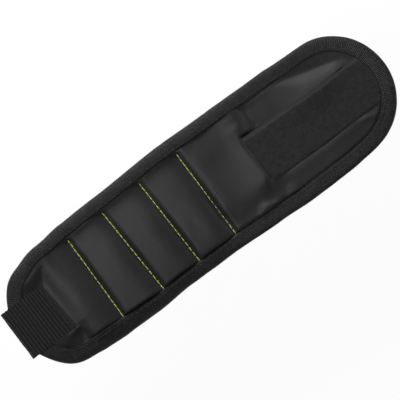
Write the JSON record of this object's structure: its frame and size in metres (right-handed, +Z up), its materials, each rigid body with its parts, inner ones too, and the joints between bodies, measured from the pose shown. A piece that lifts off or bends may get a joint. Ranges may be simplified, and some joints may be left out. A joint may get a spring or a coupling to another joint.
{
  "type": "magnetic wristband",
  "caption": "Padded wristband of black coated cloth with disc magnets sewn into pockets, bound edges, and an elastic strap that closes with hook tape on a loop tape.",
  "frame": {"origin": "centre of the band's outline, on the surface that it lies on", "axes": "+X along the band from the strap to the loop tape, +Y across it, +Z up out of the magnet pockets"},
  "size_m": [0.2604, 0.075, 0.0067],
  "materials": {
    "outer_cloth": "matte",
    "lining": "matte",
    "foam": "matte",
    "magnet": "satin",
    "binding": "matte",
    "thread": "matte",
    "loop_tape": "matte",
    "webbing": "matte",
    "hook_tape": "matte"
  },
  "bodies": {
    "tab": {"outer_cloth_tab": "outer_cloth", "lining_tab": "lining", "binding_tab": "binding", "strap_front": "webbing"},
    "pocket_1": {"outer_cloth_pocket_1": "outer_cloth", "lining_pocket_1": "lining", "foam_pad_pocket_1": "foam", "magnet_pocket_1_1": "magnet", "magnet_pocket_1_2": "magnet", "magnet_pocket_1_3": "magnet", "binding_pocket_1_left": "binding", "binding_pocket_1_right": "binding"},
    "pocket_2": {"outer_cloth_pocket_2": "outer_cloth", "lining_pocket_2": "lining", "foam_pad_pocket_2": "foam", "magnet_pocket_2_1": "magnet", "magnet_pocket_2_2": "magnet", "magnet_pocket_2_3": "magnet", "binding_pocket_2_left": "binding", "binding_pocket_2_right": "binding", "seam_thread_1": "thread"},
    "pocket_3": {"outer_cloth_pocket_3": "outer_cloth", "lining_pocket_3": "lining", "foam_pad_pocket_3": "foam", "magnet_pocket_3_1": "magnet", "magnet_pocket_3_2": "magnet", "magnet_pocket_3_3": "magnet", "binding_pocket_3_left": "binding", "binding_pocket_3_right": "binding", "seam_thread_2": "thread", "seam_thread_3": "thread"},
    "pocket_4": {"outer_cloth_pocket_4": "outer_cloth", "lining_pocket_4": "lining", "foam_pad_pocket_4": "foam", "magnet_pocket_4_1": "magnet", "magnet_pocket_4_2": "magnet", "magnet_pocket_4_3": "magnet", "binding_pocket_4_left": "binding", "binding_pocket_4_right": "binding", "seam_thread_4": "thread"},
    "pocket_5": {"outer_cloth_pocket_5": "outer_cloth", "lining_pocket_5": "lining", "foam_pad_pocket_5": "foam", "magnet_pocket_5_1": "magnet", "magnet_pocket_5_2": "magnet", "magnet_pocket_5_3": "magnet", "binding_pocket_5_left": "binding", "binding_pocket_5_right": "binding"},
    "loop_panel": {"outer_cloth_loop_panel": "outer_cloth", "lining_loop_panel": "lining", "loop_tape_loop_panel": "loop_tape", "binding_loop_panel_left": "binding", "binding_loop_panel_right": "binding"},
    "tip": {"outer_cloth_tip": "outer_cloth", "lining_tip": "lining", "loop_tape_tip": "loop_tape", "binding_tip": "binding"},
    "strap": {"strap_back": "webbing", "hook_tape": "hook_tape"}
  },
  "joints": [
    {"name": "seam_2_bend", "type": "hinge", "parent": "pocket_3", "child": "pocket_2", "pos_m": [-0.04793, 0, 0], "axis": [0, -1, 0], "range_deg": [-8, 33.72]},
    {"name": "seam_1_bend", "type": "hinge", "parent": "pocket_2", "child": "pocket_1", "pos_m": [-0.07433, 0, 0], "axis": [0, -1, 0], "range_deg": [-8, 44.98]},
    {"name": "tab_bend", "type": "hinge", "parent": "pocket_1", "child": "tab", "pos_m": [-0.09982, 0, 0.0024], "axis": [0, -1, 0], "range_deg": [-8, 61.84]},
    {"name": "strap_fold", "type": "hinge", "parent": "tab", "child": "strap", "pos_m": [-0.12682, 0, 0.00335], "axis": [0, 1, 0], "range_deg": [0, 180], "deforming": ["strap_front"]},
    {"name": "seam_3_bend", "type": "hinge", "parent": "pocket_3", "child": "pocket_4", "pos_m": [-0.02152, 0, 0], "axis": [0, 1, 0], "range_deg": [-8, 31.94]},
    {"name": "seam_4_bend", "type": "hinge", "parent": "pocket_4", "child": "pocket_5", "pos_m": [0.00487, 0, 0], "axis": [0, 1, 0], "range_deg": [-8, 39.73]},
    {"name": "loop_edge_bend", "type": "hinge", "parent": "pocket_5", "child": "loop_panel", "pos_m": [0.03918, 0, 0], "axis": [0, 1, 0], "range_deg": [-8, 60.71]},
    {"name": "loop_end_bend", "type": "hinge", "parent": "loop_panel", "child": "tip", "pos_m": [0.08818, 0, 0], "axis": [0, 1, 0], "range_deg": [-8, 87.08]}
  ]
}
